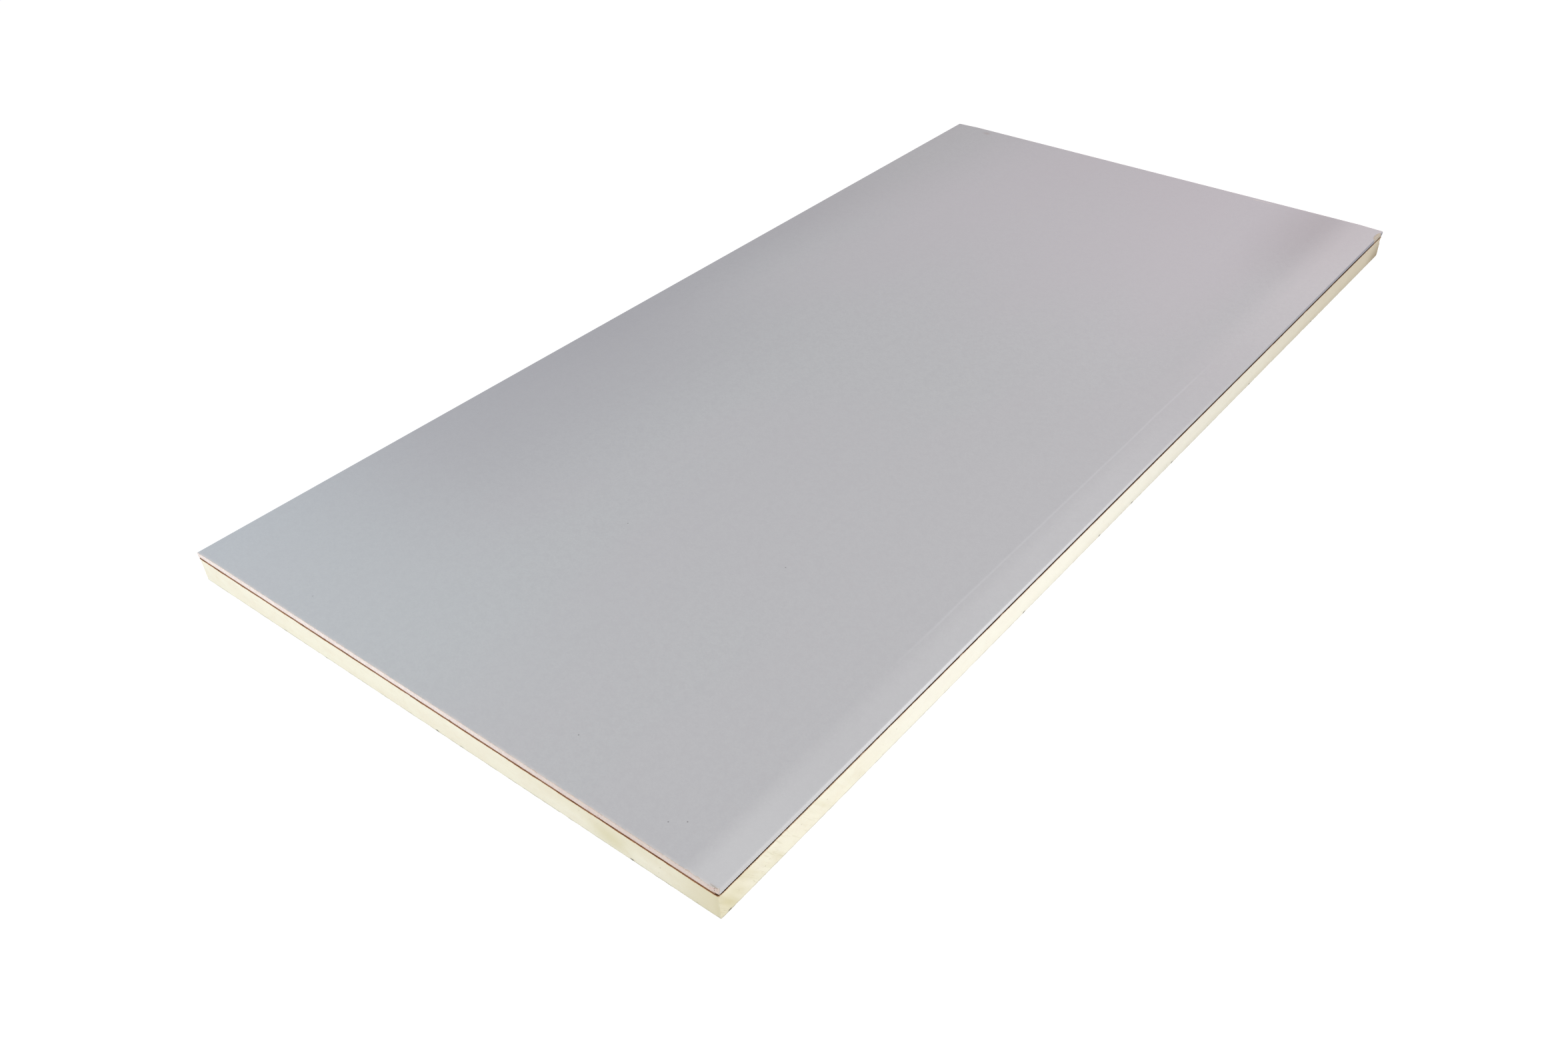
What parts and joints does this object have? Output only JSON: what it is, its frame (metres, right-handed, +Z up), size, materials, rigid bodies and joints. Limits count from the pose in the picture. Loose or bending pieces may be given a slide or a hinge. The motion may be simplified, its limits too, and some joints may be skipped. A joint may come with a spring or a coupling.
{
  "type": "insulated plasterboard sheet",
  "caption": "Flat sheet of plasterboard with paper-wrapped tapered long edges, bonded to a faced rigid foam insulation board, cut square at both ends.",
  "frame": {"origin": "centre of the underside, on the floor the sheet lies on", "axes": "+Z up through the thickness to the paper face, +Y along the length, +X across the width towards a tapered long edge"},
  "size_m": [1.2, 2.4, 0.0625],
  "materials": {
    "face_paper": "matte",
    "gypsum": "matte",
    "back_paper": "matte",
    "adhesive": "matte",
    "upper_facing": "matte",
    "foam": "matte",
    "lower_facing": "matte"
  },
  "bodies": {
    "root": {"face_paper": "face_paper", "gypsum_core": "gypsum", "back_paper": "back_paper", "adhesive": "adhesive", "upper_facing": "upper_facing", "foam_core": "foam", "lower_facing": "lower_facing"}
  },
  "joints": []
}
